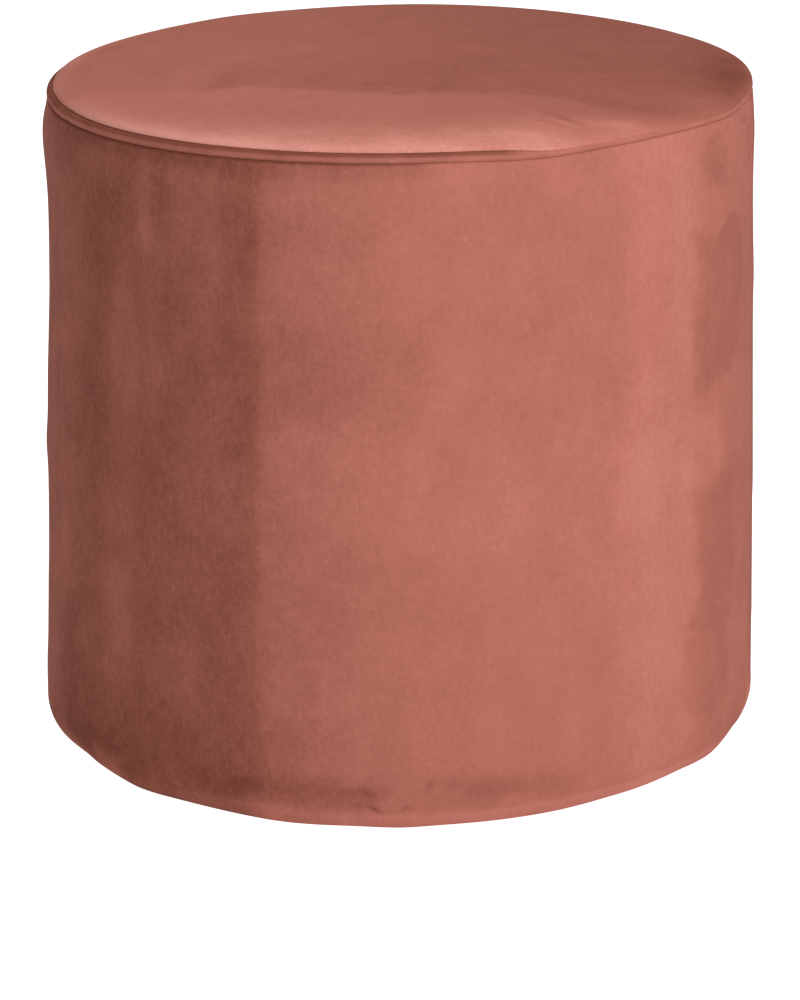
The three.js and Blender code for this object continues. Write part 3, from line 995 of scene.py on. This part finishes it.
top_cloth = np.stack([top_x, top_y], axis=-1)
top_cloth = np.hstack([top_cloth, top_cloth[:, :1]])
top_panel = sewn_round(
    "top_panel_cloth", top_turn, top_radius, top_height, top_cloth, top_lay_and_shading, top_ruffle
)
top_panel.data.materials.append(pouf_velvet)
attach(top_panel, "root")
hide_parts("top_panel")

# Base panel
# A plain round of the same velvet let into the underside, level with the floor and turned under
# round its edge. It doesn't show from above.
BASE_COLUMNS = 192
BASE_RINGS = np.array([0, 0.3, 0.6, 0.9])[:, None]
TURNED_UNDER = 1 * MM

base_turn = np.linspace(-math.pi, math.pi, BASE_COLUMNS, endpoint=False)[None, :]
base_low, base_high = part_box("base_panel")
base_radius_whole = (base_high[0] - base_low[0]) / 2
base_thick = base_high[2] - base_low[2]
level_row = np.ones_like(base_turn)
flat_radius = BASE_RINGS * base_radius_whole * level_row
edge_middle = base_radius_whole - TURNED_UNDER
low_edge_radius, low_edge_height = ellipse_arc(
    edge_middle, TURNED_UNDER, TURNED_UNDER, TURNED_UNDER, start=-90, end=0, steps=4
)
high_edge_radius, high_edge_height = ellipse_arc(
    edge_middle, base_thick - TURNED_UNDER, TURNED_UNDER, TURNED_UNDER, start=0, end=90, steps=4
)
edge_radius = np.vstack([low_edge_radius, high_edge_radius]) * level_row
edge_height = np.vstack([low_edge_height, high_edge_height]) * level_row
base_radius = np.vstack([flat_radius, edge_radius, flat_radius[::-1]])
base_height = np.vstack([0 * flat_radius, edge_height, 0 * flat_radius + base_thick])
base_x = base_radius * np.sin(base_turn)
base_y = -base_radius * np.cos(base_turn)
base_cloth = np.stack([base_x, base_y], axis=-1)
base_cloth = np.hstack([base_cloth, base_cloth[:, :1]])
base_panel = sewn_round(
    "base_panel_cloth", base_turn, base_radius, base_height, base_cloth, lay_and_shading=0, ruffle=1
)
base_panel.data.materials.append(pouf_velvet)
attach(base_panel, "root")
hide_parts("base_panel")

# Floor and light
# A plain white floor that runs into a white surround, and soft studio lamps: a large one from the
# right front, one over the front edge and a weak one behind on the left.
FLOOR_SIZE = 12
STUDIO_WHITE = "ffffff"
PAPER_WHITE = "e8e8e8"
LAMPS = [
    {"name": "right_front", "azimuth": 40, "above": 34, "away": 2.4, "size": 1.4, "watts": 29},
    {"name": "over_front", "azimuth": 4, "above": 58, "away": 1.7, "size": 1.0, "watts": 9},
    {"name": "left_back", "azimuth": -128, "above": 50, "away": 2.2, "size": 0.8, "watts": 6},
]

# How strongly the paper and the surround glow, for the light that they give and as they are seen.
PAPER_GLOW = {"given": 0.3, "seen": 1.0}
SURROUND_GLOW = {"given": 0.28, "seen": 1.1}

floor_mesh = bpy.data.meshes.new("floor")
half = FLOOR_SIZE / 2
corners = [(-half, -half, 0), (half, -half, 0), (half, half, 0), (-half, half, 0)]
floor_mesh.from_pydata(corners, [], [(0, 1, 2, 3)])
floor = bpy.data.objects.new("floor", floor_mesh)
bpy.context.scene.collection.objects.link(floor)
paper = bpy.data.materials.new("white_studio_paper")
paper.use_nodes = True
paper_surface = paper.node_tree.nodes["Principled BSDF"]
paper_surface.inputs["Base Color"].default_value = linear(PAPER_WHITE)
paper_surface.inputs["Roughness"].default_value = 1
paper_surface.inputs["Emission Color"].default_value = linear(STUDIO_WHITE)
seen = add(paper.node_tree, "ShaderNodeLightPath").outputs["Is Camera Ray"]
glow = add(
    paper.node_tree,
    "ShaderNodeMapRange",
    {"Value": seen, "To Min": PAPER_GLOW["given"], "To Max": PAPER_GLOW["seen"]},
)
paper.node_tree.links.new(glow.outputs["Result"], paper_surface.inputs["Emission Strength"])
floor_mesh.materials.append(paper)

world = bpy.data.worlds.new("white_surround")
world.use_nodes = True
world.node_tree.nodes.clear()
seen = add(world.node_tree, "ShaderNodeLightPath").outputs["Is Camera Ray"]
strength = add(
    world.node_tree,
    "ShaderNodeMapRange",
    {"Value": seen, "To Min": SURROUND_GLOW["given"], "To Max": SURROUND_GLOW["seen"]},
)
surround = add(
    world.node_tree,
    "ShaderNodeBackground",
    {"Color": linear(STUDIO_WHITE), "Strength": strength.outputs["Result"]},
)
add(world.node_tree, "ShaderNodeOutputWorld", {"Surface": surround.outputs["Background"]})
bpy.context.scene.world = world
bpy.context.scene.view_settings.view_transform = "Standard"

LIT_POINT = Vector((0, 0, 250)) * MM
for row in LAMPS:
    lamp = bpy.data.lights.new(row["name"], "AREA")
    lamp.size = row["size"]
    lamp.energy = row["watts"]
    lamp_object = bpy.data.objects.new(row["name"], lamp)
    azimuth = math.radians(row["azimuth"])
    above = math.radians(row["above"])
    flat = math.cos(above)
    way = Vector((math.sin(azimuth) * flat, -math.cos(azimuth) * flat, math.sin(above)))
    lamp_object.location = LIT_POINT + way * row["away"]
    lamp_object.rotation_euler = (-way).to_track_quat("-Z", "Y").to_euler()
    lamp_object.visible_camera = False
    bpy.context.scene.collection.objects.link(lamp_object)
